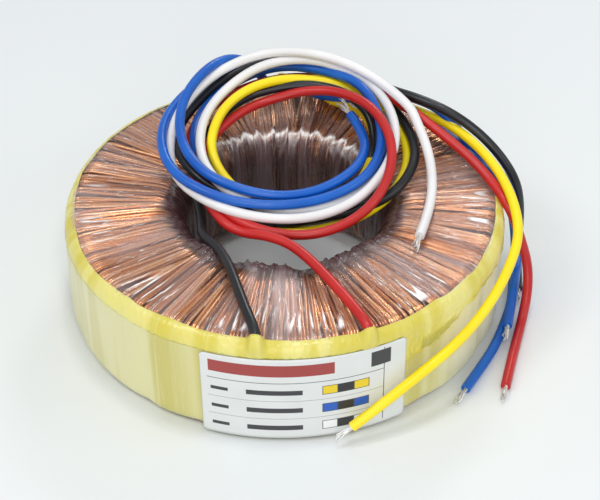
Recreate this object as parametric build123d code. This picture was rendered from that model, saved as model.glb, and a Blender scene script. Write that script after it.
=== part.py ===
from build123d import *
from math import cos, hypot, radians, sin, tan
import os

os.makedirs("parts", exist_ok=True)

# Toroidal transformer. The origin is on the bore's axis, on the surface the
# transformer rests on. +Z is up, and -Y is the side that carries the label.
# Lengths are in millimetres, angles in degrees.

# Core: a ring of steel strip wound up like a clock spring.
CORE_INNER_R = 36.0
CORE_OUTER_R = 54.0
CORE_HEIGHT = 18.5
CORE_EDGE_R = 0.6

# How deep each layer builds up on the bore side. Its turns fan out over the
# faces and the rim, so it is thinner there, by the ratio of the radii.
LAYER_BUILDS = {
    "core_wrap": 0.6,
    "primary_winding": 3.8,
    "primary_wrap": 0.5,
    "small_secondary": 0.6,
    "small_wrap": 0.3,
    "middle_secondary": 1.0,
    "middle_wrap": 0.3,
    "main_secondary": 1.8,
}

# The layers round the corners more and more as they build up.
BORE_CORNER_GAIN = 0.85
RIM_CORNER_GAIN = 0.7

# The main secondary lies in bundles of turns that stand proud of the rest.
BUNDLE_STAND = 0.7
BUNDLE_COUNT = 96
BUNDLE_WIDTH = 1.35
BORE_CORNER_FLATS = 4
RIM_CORNER_FLATS = 3

# Clear film bunched in the bore and over its shoulders.
BORE_FILM_THICK = 0.3
BORE_FILM_LIP_R = 31.0

# Yellow tape round the rim, and the narrow turn that holds the leads down.
TAPE_THICK = 0.2
TAPE_SEAT = 0.02
TAPE_FOLD = 2.1
EDGE_TAPE_DROP = 3.9

# Label on the front of the rim, a little askew.
LABEL_WIDTH = 51.5
LABEL_THICK = 0.15
LABEL_SEAT = 0.04
LABEL_TURN = 4.2
LABEL_TILT = 0.5
LABEL_FOOT = 1.0
LABEL_TAPE_GAP = 0.75
LABEL_CORNER_R = 0.8

# Leads: insulation, conductor, and the places where they come out.
LEAD_DIAMETER = 2.7
TIP_DIAMETER = 1.5
JOINT_DIAMETER = 2.4
POCKET_WALL = 0.35
POCKET_DEPTH = 1.3
EXIT_INSET = 2.5
EXIT_LIFT = 0.08
RED_EXIT = 20.0
BLACK_EXIT = -7.7
REAR_EXITS = {
    "blue_bore": 180.0,
    "black_tap": 175.6,
    "blue_long": 171.2,
    "yellow": 166.8,
    "white": 162.4,
    "blue_short": 158.0,
}

# The loose coil of leads: a ring that leans, its back standing up.
COIL_X = 2.0
COIL_Y = 16.0
COIL_RISE = 6.5
COIL_LEAN = 14.0
COIL_INNER_R = 17.0
COIL_OUTER_R = 38.6
COIL_THICK = 8.0
COIL_EDGE_R = 3.4
COIL_SEAT = 0.02

# Where the leads lie, one point at each turn, round a wound ring of the radius
# and height given first: they follow the ring if its size changes. A lead's
# start runs from its pocket in the narrow tape to a last point inside the
# coil. A free stretch starts inside the coil and ends where its insulation does.
ROUTE_RING_R = 59.5
ROUTE_RING_HEIGHT = 32.5
LEAD_FLOOR_GAP = 0.15
RED_START = [
    (15.9, -46.6, 34.3), (11.2, -38.0, 34.3), (6.2, -29.8, 34.1),
    (1.0, -23.3, 33.3), (-5.0, -19.2, 31.8), (-11.5, -15.8, 30.4),
]
BLACK_START = [
    (-10.2, -48.3, 34.3), (-12.4, -38.8, 34.3), (-15.0, -29.3, 33.9),
    (-17.6, -20.6, 31.9), (-20.4, -11.9, 30.6),
]
# From a rear exit: way round (+ is clockwise), way in, and height above the ring.
REAR_START = [(0.9, 6.6, 1.9), (3.4, 11.6, 4.9), (6.6, 12.4, 10.7)]
BORE_END_START = [(-0.9, 6.4, 1.9), (-3.8, 10.8, 5.1), (-7.6, 10.0, 10.7)]
FREE_ENDS = {
    "black": [
        (30.5, 35.0, 45.5), (37.5, 29.5, 44.8), (46.0, 24.5, 42.4),
        (54.0, 19.4, 40.0), (60.4, 14.4, 37.4), (65.0, 11.2, 30.8),
        (66.4, 9.8, 21.4), (66.4, 9.0, 12.0), (65.4, 6.0, 4.2),
        (63.4, -1.8, 1.5), (61.6, -9.6, 1.5),
    ],
    "blue_long": [
        (30.0, 37.0, 42.6), (37.0, 32.2, 41.9), (45.0, 26.8, 40.0),
        (52.4, 19.4, 37.0), (58.6, 12.2, 35.6), (63.2, 7.6, 30.6),
        (66.0, 5.2, 22.8), (67.2, 5.2, 14.4), (66.0, 1.8, 7.2),
        (63.8, -5.8, 4.5), (62.0, -13.4, 4.3), (60.4, -21.0, 4.2),
    ],
    "blue_short": [
        (30.5, 38.0, 41.4), (37.5, 34.2, 38.6), (45.5, 26.6, 36.2),
        (52.0, 17.0, 34.3), (57.0, 8.2, 34.0), (61.6, 3.2, 31.2),
        (65.0, 1.2, 24.0), (67.8, 0.4, 14.4), (68.2, -2.2, 5.4),
        (66.4, -10.2, 1.5), (62.6, -18.6, 1.5), (58.2, -26.4, 1.5),
        (53.4, -34.0, 1.5), (48.4, -41.6, 1.5),
    ],
    "red": [
        (28.0, 32.6, 43.6), (36.0, 25.8, 42.0), (44.0, 17.8, 40.4),
        (51.4, 9.8, 38.0), (58.2, 1.2, 35.2), (63.4, -3.4, 28.8),
        (68.2, -4.4, 20.4), (71.2, -5.2, 11.4), (70.8, -8.4, 3.4),
        (68.0, -17.0, 1.5), (64.6, -25.8, 1.5), (61.0, -34.4, 1.5),
        (57.6, -42.6, 1.5),
    ],
    "yellow": [
        (28.0, 29.5, 45.2), (35.4, 24.4, 45.4), (44.6, 20.2, 43.8),
        (53.4, 13.2, 40.8), (59.6, 4.4, 37.8), (62.6, -4.8, 33.8),
        (62.4, -14.4, 29.0), (58.4, -24.4, 24.8), (52.2, -35.0, 22.2),
        (43.6, -45.4, 19.6), (33.2, -53.4, 16.2), (22.6, -58.8, 10.2),
        (16.0, -61.0, 5.6),
    ],
    "white": [
        (37.0, 20.6, 42.2), (39.8, 10.4, 39.4), (40.2, 0.0, 36.6),
        (38.4, -10.2, 34.7), (35.0, -20.2, 34.3),
    ],
}
# How far each bared, tinned tip stands out of its insulation.
TIP_LENGTHS = {
    "black": 4.4,
    "blue_long": 5.4,
    "blue_short": 6.0,
    "red": 5.4,
    "yellow": 5.0,
    "white": 5.0,
}


class Shell:
    """Outline of the wound ring in the X-Z plane, after one more layer."""

    def __init__(self, inner_r, outer_r, half, bore_corner, rim_corner):
        self.inner_r = inner_r
        self.outer_r = outer_r
        self.half = half
        self.bore_corner = bore_corner
        self.rim_corner = rim_corner

    def wound(self, build):
        """The outline once a layer of this build at the bore covers it."""
        at_rim = build * self.inner_r / self.outer_r
        at_face = build * 2 * self.inner_r / (self.inner_r + self.outer_r)
        return Shell(
            self.inner_r - build,
            self.outer_r + at_rim,
            self.half + at_face,
            self.bore_corner + BORE_CORNER_GAIN * build,
            self.rim_corner + RIM_CORNER_GAIN * at_rim,
        )

    def grown(self, by):
        """The outline moved outwards by the same amount all round."""
        return Shell(
            self.inner_r - by,
            self.outer_r + by,
            self.half + by,
            self.bore_corner + by,
            self.rim_corner + by,
        )

    def corners(self):
        """Centre, radius and first angle of each rounded corner in turn."""
        near_bore = self.inner_r + self.bore_corner
        near_rim = self.outer_r - self.rim_corner
        bore_z = self.half - self.bore_corner
        rim_z = self.half - self.rim_corner
        return [
            (near_rim, rim_z, self.rim_corner, 0, RIM_CORNER_FLATS),
            (near_bore, bore_z, self.bore_corner, 90, BORE_CORNER_FLATS),
            (near_bore, -bore_z, self.bore_corner, 180, BORE_CORNER_FLATS),
            (near_rim, -rim_z, self.rim_corner, 270, RIM_CORNER_FLATS),
        ]

    def flat_face(self):
        """The outline with each corner turned in a few flats."""
        points = []
        for x, z, radius, first, flats in self.corners():
            for step in range(flats + 1):
                angle = radians(first + 90 * step / flats)
                points.append((x + radius * cos(angle), z + radius * sin(angle)))
        return Plane.XZ * make_face(Polyline(*points, close=True))

    def round_face(self):
        """The outline with true round corners."""
        arcs = [
            CenterArc((x, z), radius, first, 90)
            for x, z, radius, first, flats in self.corners()
        ]
        edges = []
        for arc, after in zip(arcs, arcs[1:] + arcs[:1]):
            edges.append(arc)
            edges.append(Line(arc @ 1, after @ 0))
        return Plane.XZ * make_face(edges)


def lay_out_layers():
    """The outline after each layer, from the bare core outwards."""
    shell = Shell(
        CORE_INNER_R, CORE_OUTER_R, CORE_HEIGHT / 2, CORE_EDGE_R, CORE_EDGE_R
    )
    shells = {"core": shell}
    for name, build in LAYER_BUILDS.items():
        shell = shell.wound(build)
        shells[name] = shell
    shells["bundles"] = shell.wound(BUNDLE_STAND)
    return shells


SHELLS = lay_out_layers()
CREST = SHELLS["bundles"]
MID_Z = CREST.half
RING_TOP = 2 * CREST.half
EXIT_R = CREST.outer_r - EXIT_INSET
EXIT_Z = RING_TOP + LEAD_DIAMETER / 2 + EXIT_LIFT


def ring(face):
    """A section in the X-Z plane turned once round the bore's axis."""
    return Pos(0, 0, MID_Z) * revolve(face, Axis.Z, 360)


def window(low_r, high_r, low_z, high_z):
    """A rectangle in the section plane, to keep a part of a section."""
    width = high_r - low_r
    height = high_z - low_z
    return Plane.XZ * Pos(low_r + width / 2, low_z + height / 2) * Rectangle(
        width, height
    )


def make_core():
    """The strip-wound steel ring."""
    return ring(SHELLS["core"].round_face())


def make_layer(name, before):
    """One plain layer between its own outline and the one before it."""
    return ring(SHELLS[name].round_face() - SHELLS[before].round_face())


def make_main_secondary():
    """The outer winding: a plain bed with the bundles of turns proud of it."""
    bed = ring(SHELLS["main_secondary"].flat_face() - SHELLS["middle_wrap"].round_face())
    root = SHELLS["middle_wrap"].wound(LAYER_BUILDS["main_secondary"] / 2)
    loop = CREST.flat_face() - root.flat_face()
    bundle = Pos(0, 0, MID_Z) * extrude(loop, BUNDLE_WIDTH / 2, both=True)
    bundles = [
        Rot(0, 0, 360 * index / BUNDLE_COUNT) * bundle for index in range(BUNDLE_COUNT)
    ]
    return bed.fuse(*bundles)


def make_bore_film():
    """Clear film that lines the bore and lips over its shoulders."""
    band = CREST.grown(BORE_FILM_THICK).round_face() - CREST.round_face()
    keep = window(0, BORE_FILM_LIP_R, -2 * MID_Z, 2 * MID_Z)
    return ring(band & keep)


def tape_band(under, over, low_z):
    """The section of a tape round the rim, folded over the edges it reaches."""
    band = CREST.grown(over).round_face() - CREST.grown(under).round_face()
    return band & window(
        CREST.outer_r - TAPE_FOLD, 2 * CREST.outer_r, low_z, 2 * MID_Z
    )


def make_rim_tape():
    """The wide tape round the rim, folded over both edges."""
    return ring(tape_band(TAPE_SEAT, TAPE_SEAT + TAPE_THICK, -2 * MID_Z))


def exit_turns():
    """Where each lead comes out, as a turn from the front."""
    turns = {"red": RED_EXIT, "black": BLACK_EXIT}
    turns.update(REAR_EXITS)
    return turns


def plug(diameter):
    """A round-ended plug that points outwards from the front exit."""
    barrel = Pos(0, -EXIT_R - POCKET_DEPTH / 2, EXIT_Z) * Rot(90, 0, 0) * Cylinder(
        diameter / 2, POCKET_DEPTH
    )
    end = Pos(0, -EXIT_R - POCKET_DEPTH, EXIT_Z) * Sphere(diameter / 2)
    reach = Pos(0, -EXIT_R - 2 * diameter, EXIT_Z) * Box(
        2 * diameter, 4 * diameter, 2 * diameter
    )
    return (barrel + end) & reach


def at_exits(solid):
    """Copies of a solid made at the front, one at each lead's exit."""
    return [Rot(0, 0, turn) * solid for turn in exit_turns().values()]


def make_lead_joints():
    """The soldered and sleeved joint between each winding end and its lead."""
    return Compound(children=at_exits(plug(JOINT_DIAMETER)))


def pocket():
    """The tape drawn over one joint and straight down over the rim's corner."""
    width = LEAD_DIAMETER + 2 * POCKET_WALL
    drop = EXIT_Z - RING_TOP + EDGE_TAPE_DROP
    middle_z = EXIT_Z - drop / 2
    sides = Pos(0, -EXIT_R - POCKET_DEPTH / 2, middle_z) * Box(width, POCKET_DEPTH, drop)
    front = Pos(0, -EXIT_R - POCKET_DEPTH, middle_z) * Cylinder(width / 2, drop)
    reach = Pos(0, -EXIT_R - width, middle_z) * Box(2 * width, 2 * width, 2 * drop)
    return plug(width) + ((sides + front) & reach)


def make_edge_tape():
    """The narrow top turn of tape, raised in a pocket over each joint."""
    under = TAPE_SEAT + TAPE_THICK
    low_z = MID_Z - EDGE_TAPE_DROP
    band = ring(tape_band(under, under + TAPE_THICK, low_z))
    filled = ring(CREST.grown(under).round_face())
    tape = band.fuse(*at_exits(pocket()))
    return tape - filled - at_exits(plug(JOINT_DIAMETER))


def make_label():
    """The bare label: a sheet that follows the rim, cut to a rounded oblong."""
    inner_r = CREST.outer_r + TAPE_SEAT + TAPE_THICK + LABEL_SEAT
    height = RING_TOP - EDGE_TAPE_DROP - LABEL_TAPE_GAP - LABEL_FOOT
    sheet = Cylinder(inner_r + LABEL_THICK, 4 * MID_Z) - Cylinder(inner_r, 4 * MID_Z)
    outline = RectangleRounded(LABEL_WIDTH, height, LABEL_CORNER_R)
    cutter = Rot(90, 0, 0) * extrude(Rot(0, 0, LABEL_TILT) * outline, 2 * inner_r)
    placed = Pos(0, 0, LABEL_FOOT + height / 2) * cutter
    return Rot(0, 0, LABEL_TURN) * (sheet & placed)


def make_lead_coil():
    """The outer shape of the loose coil, bedded on the winding's shoulder."""
    width = COIL_OUTER_R - COIL_INNER_R
    outline = Pos((COIL_OUTER_R + COIL_INNER_R) / 2, 0) * RectangleRounded(
        width, COIL_THICK, COIL_EDGE_R
    )
    coil = revolve(Plane.XZ * outline, Axis.Z, 360)
    bed = ring(CREST.grown(BORE_FILM_THICK + COIL_SEAT).round_face())
    centre = Pos(COIL_X, COIL_Y, RING_TOP + COIL_RISE)
    return centre * Rot(COIL_LEAN, 0, 0) * coil - bed


def beside_ring(point):
    """A point of a route, moved with the ring's own radius and height."""
    x, y, z = point
    radius = hypot(x, y)
    shift = (CREST.outer_r - ROUTE_RING_R) * min(1, radius / ROUTE_RING_R)
    low_z = LEAD_DIAMETER / 2 + LEAD_FLOOR_GAP
    rise = RING_TOP / ROUTE_RING_HEIGHT
    return (
        x * (radius + shift) / radius,
        y * (radius + shift) / radius,
        low_z + (z - low_z) * rise,
    )


def rear_route(name):
    """A rear lead's start: off its exit, then round and up into the coil."""
    route = BORE_END_START if name == "blue_bore" else REAR_START
    turn = radians(REAR_EXITS[name])
    points = [(0.0, EXIT_R, EXIT_Z)]
    for along, inset, rise in route:
        points.append((along, EXIT_R - inset, RING_TOP + rise))
    return [
        (
            radius * sin(turn) - along * cos(turn),
            -radius * cos(turn) - along * sin(turn),
            z,
        )
        for along, radius, z in points
    ]


def front_route(turn_degrees, route):
    """A front lead's start, with its exit put before the rest."""
    turn = radians(turn_degrees)
    first = (EXIT_R * sin(turn), -EXIT_R * cos(turn), EXIT_Z)
    return [first] + [beside_ring(point) for point in route]


def lead_line(name, points):
    """Straight runs joined by tangent arcs, with the radii printed."""
    spots = [Vector(*point) for point in points]
    runs = [after - spot for spot, after in zip(spots, spots[1:])]
    radii = []
    for run, after in zip(runs, runs[1:]):
        shorter = min(run.length, after.length)
        radii.append(0.45 * shorter / tan(radians(run.get_angle(after)) / 2))
    print(name, "bend radii", [round(radius, 1) for radius in radii])
    return FilletPolyline(*points, radius=radii)


def pulled_back(points):
    """A start's route, begun a little way inside its pocket."""
    first, second = [Vector(*point) for point in points[:2]]
    extra = first - (second - first).normalized() * LEAD_DIAMETER
    return [tuple(extra)] + points[1:]


def pocket_side(turn):
    """A block that fills the space on the outer side of one exit's face."""
    size = 4 * LEAD_DIAMETER
    return Rot(0, 0, turn) * Pos(0, -EXIT_R - size / 2, EXIT_Z) * Box(size, size, size)


def make_lead(name, points):
    """The insulation of one stretch of lead, as a plain round tube."""
    line = lead_line(name, points)
    start = Plane(origin=line @ 0, z_dir=line % 0)
    lead = sweep(start * Circle(LEAD_DIAMETER / 2), path=line)
    expected = line.length * Circle(LEAD_DIAMETER / 2).area
    print(name, "length", round(line.length, 1), "fill", round(lead.volume / expected, 3))
    return lead


def make_tip(name):
    """The tinned strands that stand out of a free end's insulation."""
    before, last = [Vector(*beside_ring(point)) for point in FREE_ENDS[name][-2:]]
    length = TIP_LENGTHS[name]
    return Plane(origin=last, z_dir=last - before) * Pos(0, 0, length / 2) * Cylinder(
        TIP_DIAMETER / 2, length
    )


def make_parts():
    """Every node of the part, by name."""
    parts = {"core": make_core()}
    before = "core"
    for name in LAYER_BUILDS:
        if name != "main_secondary":
            parts[name] = make_layer(name, before)
        before = name
    parts["main_secondary"] = make_main_secondary()
    parts["bore_film"] = make_bore_film()
    parts["rim_tape"] = make_rim_tape()
    parts["edge_tape"] = make_edge_tape()
    parts["label"] = make_label()
    parts["lead_joints"] = make_lead_joints()

    coil = make_lead_coil()
    parts["lead_coil"] = coil
    starts = {"red": front_route(RED_EXIT, RED_START)}
    starts["black"] = front_route(BLACK_EXIT, BLACK_START)
    for name in REAR_EXITS:
        starts[name] = rear_route(name)
    for name, points in starts.items():
        lead = make_lead(name + " start", pulled_back(points))
        parts[name + "_start"] = lead - coil - pocket_side(exit_turns()[name])
    for name, points in FREE_ENDS.items():
        placed = [beside_ring(point) for point in points]
        parts[name + "_end"] = make_lead(name + " end", placed) - coil
        parts[name + "_tip"] = make_tip(name)
    return parts


for name, part in make_parts().items():
    part.label = name
    export_step(part, "parts/" + name + ".step")
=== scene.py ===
import math

import bpy
import numpy as np
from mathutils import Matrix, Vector


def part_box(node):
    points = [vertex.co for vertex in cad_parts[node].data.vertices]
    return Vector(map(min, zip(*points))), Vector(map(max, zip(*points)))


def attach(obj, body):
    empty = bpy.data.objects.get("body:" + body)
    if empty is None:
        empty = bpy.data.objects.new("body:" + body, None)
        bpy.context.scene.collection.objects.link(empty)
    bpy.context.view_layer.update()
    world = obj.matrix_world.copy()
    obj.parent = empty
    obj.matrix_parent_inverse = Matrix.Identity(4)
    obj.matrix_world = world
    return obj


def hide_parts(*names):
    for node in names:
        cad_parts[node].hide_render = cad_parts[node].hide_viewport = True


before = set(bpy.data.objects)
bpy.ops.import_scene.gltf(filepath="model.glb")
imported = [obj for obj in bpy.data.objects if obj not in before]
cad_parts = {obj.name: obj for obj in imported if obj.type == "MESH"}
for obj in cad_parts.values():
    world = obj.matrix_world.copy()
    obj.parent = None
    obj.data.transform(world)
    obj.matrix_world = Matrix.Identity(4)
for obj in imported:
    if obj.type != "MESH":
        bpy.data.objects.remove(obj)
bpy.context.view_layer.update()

MM = 0.001
TAU = 2 * math.pi
rng = np.random.default_rng(7)

# The wound ring, in metres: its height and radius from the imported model, and
# the bore and the corners of its section.
ring_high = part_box("main_secondary")[1]
RING_TOP = ring_high.z
MID_Z = RING_TOP / 2
RING_R = ring_high.x
BORE_R = 26.4 * MM
BORE_CORNER = 8.76 * MM
RIM_CORNER = 4.47 * MM
CORNER_Z = RING_TOP - RIM_CORNER

# Winding and leads.
WIRE_D = 0.95 * MM
WIRE_COUNT = 372
LEAD_D = 2.7 * MM
STRAND_D = 0.36 * MM

# The coil that the leads are gathered in.
COIL_CENTRE = np.array([2.0, 16.0, 38.6]) * MM
COIL_LEAN = math.radians(14)


# ---------------------------------------------------------------------------
# Meshes
# ---------------------------------------------------------------------------


def add_object(name, data):
    """An object in the scene, for a mesh, a curve, a lamp or a camera."""
    made = bpy.data.objects.new(name, data)
    bpy.context.scene.collection.objects.link(made)
    return made


def add_piece(name, verts, faces, material, slot, uv=None, **marks):
    """A mesh object from vertex and quad arrays, riding on the one body. Each
    mark is one number at each vertex, for its material to read."""
    mesh = bpy.data.meshes.new(name)
    mesh.from_pydata(verts.reshape(-1, 3).tolist(), [], faces.tolist())
    mesh.polygons.foreach_set("use_smooth", [True] * len(mesh.polygons))
    if uv is not None:
        layer = mesh.uv_layers.new(name="UVMap")
        corners = np.zeros(len(mesh.loops), int)
        mesh.loops.foreach_get("vertex_index", corners)
        layer.data.foreach_set("uv", uv.reshape(-1, 2)[corners].ravel().tolist())
    for mark, values in marks.items():
        layer = mesh.attributes.new(mark, "FLOAT", "POINT")
        layer.data.foreach_set("value", np.asarray(values, float).ravel().tolist())
    mesh.materials.append(material)
    mesh.update()
    piece = add_object(name, mesh)
    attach(piece, "root")
    return piece


def grid_faces(rows, columns, close_rows=False, close_columns=False):
    """Quads between neighbours on a grid, each wound the same way round."""
    row_steps = rows if close_rows else rows - 1
    column_steps = columns if close_columns else columns - 1
    i, j = np.meshgrid(np.arange(row_steps), np.arange(column_steps), indexing="ij")
    after_i = (i + 1) % rows
    after_j = (j + 1) % columns
    quads = np.stack(
        [i * columns + j, after_i * columns + j,
         after_i * columns + after_j, i * columns + after_j],
        axis=-1,
    )
    return quads.reshape(-1, 4)


def repeat_faces(quads, count, size):
    """The same faces on each of several pieces that have size vertices each."""
    return (quads[None] + (np.arange(count) * size)[:, None, None]).reshape(-1, 4)


def smooth_step(value, low, high):
    """0 below low, 1 above high, and smooth in between."""
    t = np.clip((value - low) / (high - low), 0, 1)
    return t * t * (3 - 2 * t)


def hump(value, middle, width, power=2):
    """1 at the middle, falling to 0: exp(-((value - middle) / width) ^ power)."""
    return np.exp(-(((value - middle) / width) ** power))


def from_front(turn):
    """A turn brought between minus and plus half a circle, 0 at the front."""
    return (turn + math.pi) % TAU - math.pi


# ---------------------------------------------------------------------------
# Materials
# ---------------------------------------------------------------------------


class Value:
    """A number socket. Python's operators on it add Math nodes."""

    def __init__(self, shader, socket):
        self.shader = shader
        self.socket = socket

    def maths(self, operation, *others):
        inputs = {0: self.socket}
        for index, other in enumerate(others, start=1):
            inputs[index] = other
        return self.shader.node("ShaderNodeMath", {"operation": operation}, inputs)

    def __add__(self, other):
        return self.maths("ADD", other)

    def __sub__(self, other):
        return self.maths("SUBTRACT", other)

    def __mul__(self, other):
        return self.maths("MULTIPLY", other)

    __radd__ = __add__
    __rmul__ = __mul__

    def clamped(self):
        return self.shader.node("ShaderNodeClamp", {}, {"Value": self})

    def between(self, low, high):
        """0 below low, 1 above high, and smooth in between."""
        return self.shader.node(
            "ShaderNodeMapRange",
            {"interpolation_type": "SMOOTHSTEP"},
            {"Value": self, "From Min": low, "From Max": high},
        )


class Shader:
    """A material's nodes, built round one Principled shader."""

    def __init__(self, name, **constants):
        self.material = bpy.data.materials.new(name)
        self.material.use_nodes = True
        self.tree = self.material.node_tree
        self.surface = self.tree.nodes["Principled BSDF"]
        self.coordinates = self.tree.nodes.new("ShaderNodeTexCoord")
        for socket, value in constants.items():
            self.surface.inputs[socket.replace("_", " ")].default_value = value

    def node(self, kind, settings, inputs, output=0):
        """A node of a kind: its settings first, then its sockets' values or links."""
        node = self.tree.nodes.new(kind)
        for key, value in settings.items():
            if key == "stops":
                ramp = node.color_ramp
                while len(ramp.elements) < len(value):
                    ramp.elements.new(0.5)
                for element, (place, color) in zip(ramp.elements, value):
                    element.position = place
                    element.color = (*color, 1)
            else:
                setattr(node, key, value)
        for key, value in inputs.items():
            self.feed(node.inputs[key], value)
        return Value(self, node.outputs[output])

    def feed(self, socket, value):
        if isinstance(value, Value):
            value = value.socket
        if isinstance(value, bpy.types.NodeSocket):
            self.tree.links.new(value, socket)
        elif isinstance(value, (tuple, list)) and socket.type == "RGBA" and len(value) == 3:
            socket.default_value = (*value, 1)
        else:
            socket.default_value = value

    def place(self, source="Object", scale=(1, 1, 1)):
        """Object or UV coordinates, scaled."""
        inputs = {"Vector": self.coordinates.outputs[source], "Scale": scale}
        return self.node("ShaderNodeMapping", {}, inputs)

    def mark(self, name):
        """A number kept at the vertices of the piece."""
        return self.node("ShaderNodeAttribute", {"attribute_name": name}, {}, output=2)

    def noise(self, at, scale, detail=3.0, roughness=0.55, distortion=0.0):
        inputs = {"Vector": at, "Scale": scale, "Detail": detail, "Roughness": roughness,
                  "Distortion": distortion}
        return self.node("ShaderNodeTexNoise", {}, inputs)

    def mix(self, factor, first, second):
        """Two colours mixed."""
        inputs = {0: factor, 6: first, 7: second}
        return self.node("ShaderNodeMix", {"data_type": "RGBA"}, inputs, output=2)

    def ramp(self, factor, *stops):
        return self.node("ShaderNodeValToRGB", {"stops": stops}, {"Fac": factor})

    def part_of(self, vector, axis):
        """One component of a vector."""
        return self.node("ShaderNodeSeparateXYZ", {}, {"Vector": vector}, output=axis)

    def vector(self, operation, *inputs, output=0):
        settings = {"operation": operation}
        return self.node("ShaderNodeVectorMath", settings, dict(enumerate(inputs)), output)

    def round_the_axis(self, fineness, along, height_along=0.0):
        """Coordinates that follow the ring without a seam: the direction from
        the axis times fineness, and the distance from it times along."""
        at = self.place()
        flat = self.vector("MULTIPLY", at, (1, 1, 0))
        facing = self.vector("NORMALIZE", flat)
        radius = self.vector("LENGTH", flat, output=1)
        reach = radius * along + self.part_of(at, 2) * height_along
        offset = self.node("ShaderNodeCombineXYZ", {}, {"Z": reach})
        wide = self.vector("MULTIPLY", facing, (fineness, fineness, 0))
        return self.vector("ADD", wide, offset)

    def crease(self, noise, width):
        """A thin line where a noise crosses its middle."""
        return (noise - 0.5).maths("ABSOLUTE").between(width, 0.0)

    def bump(self, height, strength, distance):
        inputs = {"Height": height, "Strength": strength, "Distance": distance}
        return self.node("ShaderNodeBump", {}, inputs)

    def finish(self, **links):
        """Feeds the shader's sockets and gives the material."""
        for socket, value in links.items():
            self.feed(self.surface.inputs[socket.replace("_", " ")], value)
        return self.material


def vinyl(name, color, dusty):
    """Extruded lead insulation: faint cloudy tone, fine die lines and soft gloss."""
    s = Shader(name, IOR=1.5, Coat_Roughness=0.12)
    at = s.place()
    cloud = s.noise(at, 55, detail=2)
    fine = s.noise(at, 900, detail=2)
    tone = s.mix(cloud.between(0.35, 0.75), color, dusty)
    tone = s.mix(fine.between(0.6, 0.9) * 0.25, tone, dusty)
    return s.finish(Base_Color=tone, Roughness=0.3 + cloud * 0.12,
                    Normal=s.bump(fine, 0.12, 0.0002), Coat_Weight=0.05 + cloud * 0.1)


# Each lead colour, and the same a little dusty.
VINYL_TONES = {
    "red": ((0.50, 0.010, 0.009), (0.60, 0.018, 0.016)),
    "black": ((0.007, 0.008, 0.010), (0.018, 0.020, 0.026)),
    "blue": ((0.000, 0.095, 0.49), (0.001, 0.14, 0.60)),
    "yellow": ((1.0, 0.76, 0.002), (1.0, 0.83, 0.008)),
    "white": ((0.82, 0.81, 0.81), (0.90, 0.89, 0.89)),
}
vinyls = {color: vinyl(color + "_vinyl", *tones) for color, tones in VINYL_TONES.items()}


# ---------------------------------------------------------------------------
# Winding
# ---------------------------------------------------------------------------


# Stations count off the ring's section: 0 to 1 is the rim's upper corner, 1 to 2
# the top face, 2 to 3 the bore's upper corner, 3 to 4 the bore's wall, 4 to 5 the
# bore's lower corner, 5 to 6 the underside and 6 to 7 the rim's lower corner.


def stations_between(ends, steps):
    """Stations from the first end to the last: each stretch between two ends is
    cut into its own number of even steps."""
    runs = [np.linspace(a, b, count + 1)[1:] for a, b, count in zip(ends, ends[1:], steps)]
    return np.concatenate([ends[:1], *runs])


WIRE_STATIONS = stations_between([0.35, 1, 2, 3, 4, 5, 6, 6.65], [3, 9, 7, 4, 5, 4, 2])
FILM_STATIONS = stations_between([0.62, 1, 2, 3, 4, 5, 6, 6.38], [4, 21, 28, 8, 8, 9, 3])


def section_line(stations, inset):
    """Radius, height and outward normal on the ring's rounded section, moved
    inwards: quarter circles at the corners joined by straight runs. Stations
    and inset are arrays of one shape."""
    rim_x, bore_x = RING_R - RIM_CORNER, BORE_R + BORE_CORNER
    rim_z, bore_z = MID_Z - RIM_CORNER, MID_Z - BORE_CORNER
    quarter = math.pi / 2

    def at(*values):
        """A value that runs evenly from each whole station to the next."""
        return np.interp(stations, range(8), values)

    angle = at(0, quarter, quarter, math.pi, math.pi, 3 * quarter, 3 * quarter, TAU)
    x = at(rim_x, rim_x, bore_x, bore_x, bore_x, bore_x, rim_x, rim_x)
    z = at(rim_z, rim_z, bore_z, bore_z, -bore_z, -bore_z, -rim_z, -rim_z)
    corner = at(RIM_CORNER, RIM_CORNER, *[BORE_CORNER] * 4, RIM_CORNER, RIM_CORNER)
    reach = corner - inset
    return x + reach * np.cos(angle), MID_Z + z + reach * np.sin(angle), angle


def on_ring(turn, radius, height):
    """Cylindrical to row-frame points, none under the floor. Turn 0 is the
    front, and grows towards +X."""
    return np.stack([radius * np.sin(turn), -radius * np.cos(turn), np.maximum(height, 0)], -1)


def wire_layout():
    """Each turn's place: its turn at the rim and at the bore, and its layer.
    The turns run in small bundles, side by side at the rim and stacked at the
    bore, and each bundle leans a little, so that some cross."""
    sizes = []
    while sum(sizes) < WIRE_COUNT:
        sizes.append(int(rng.choice([1, 2, 2, 3, 3, 4, 5, 6])))
    sizes[-1] -= sum(sizes) - WIRE_COUNT
    rim_turn, bore_turn, layer, bundle_of = [], [], [], []
    placed = 0
    for bundle, size in enumerate(sizes):
        first = placed / WIRE_COUNT * TAU
        pitch = TAU / WIRE_COUNT
        middle = first + pitch * size / 2
        lean = rng.normal(0, 0.9) * pitch
        squeeze = rng.uniform(0.74, 0.98)
        order = rng.permutation(size)
        for k in range(size):
            offset = (k + 0.5 - size / 2) * pitch
            rim_turn.append(middle + squeeze * offset + rng.normal(0, 0.07) * pitch - lean)
            bore_turn.append(middle + 1.04 * offset + rng.normal(0, 0.22) * pitch + lean)
            layer.append((order[k] % 3) * 0.75 + rng.uniform(0, 0.3))
            bundle_of.append(bundle)
        placed += size
    return np.array(rim_turn), np.array(bore_turn), np.array(layer), np.array(bundle_of)


WIRE_SIDES = 5


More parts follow.
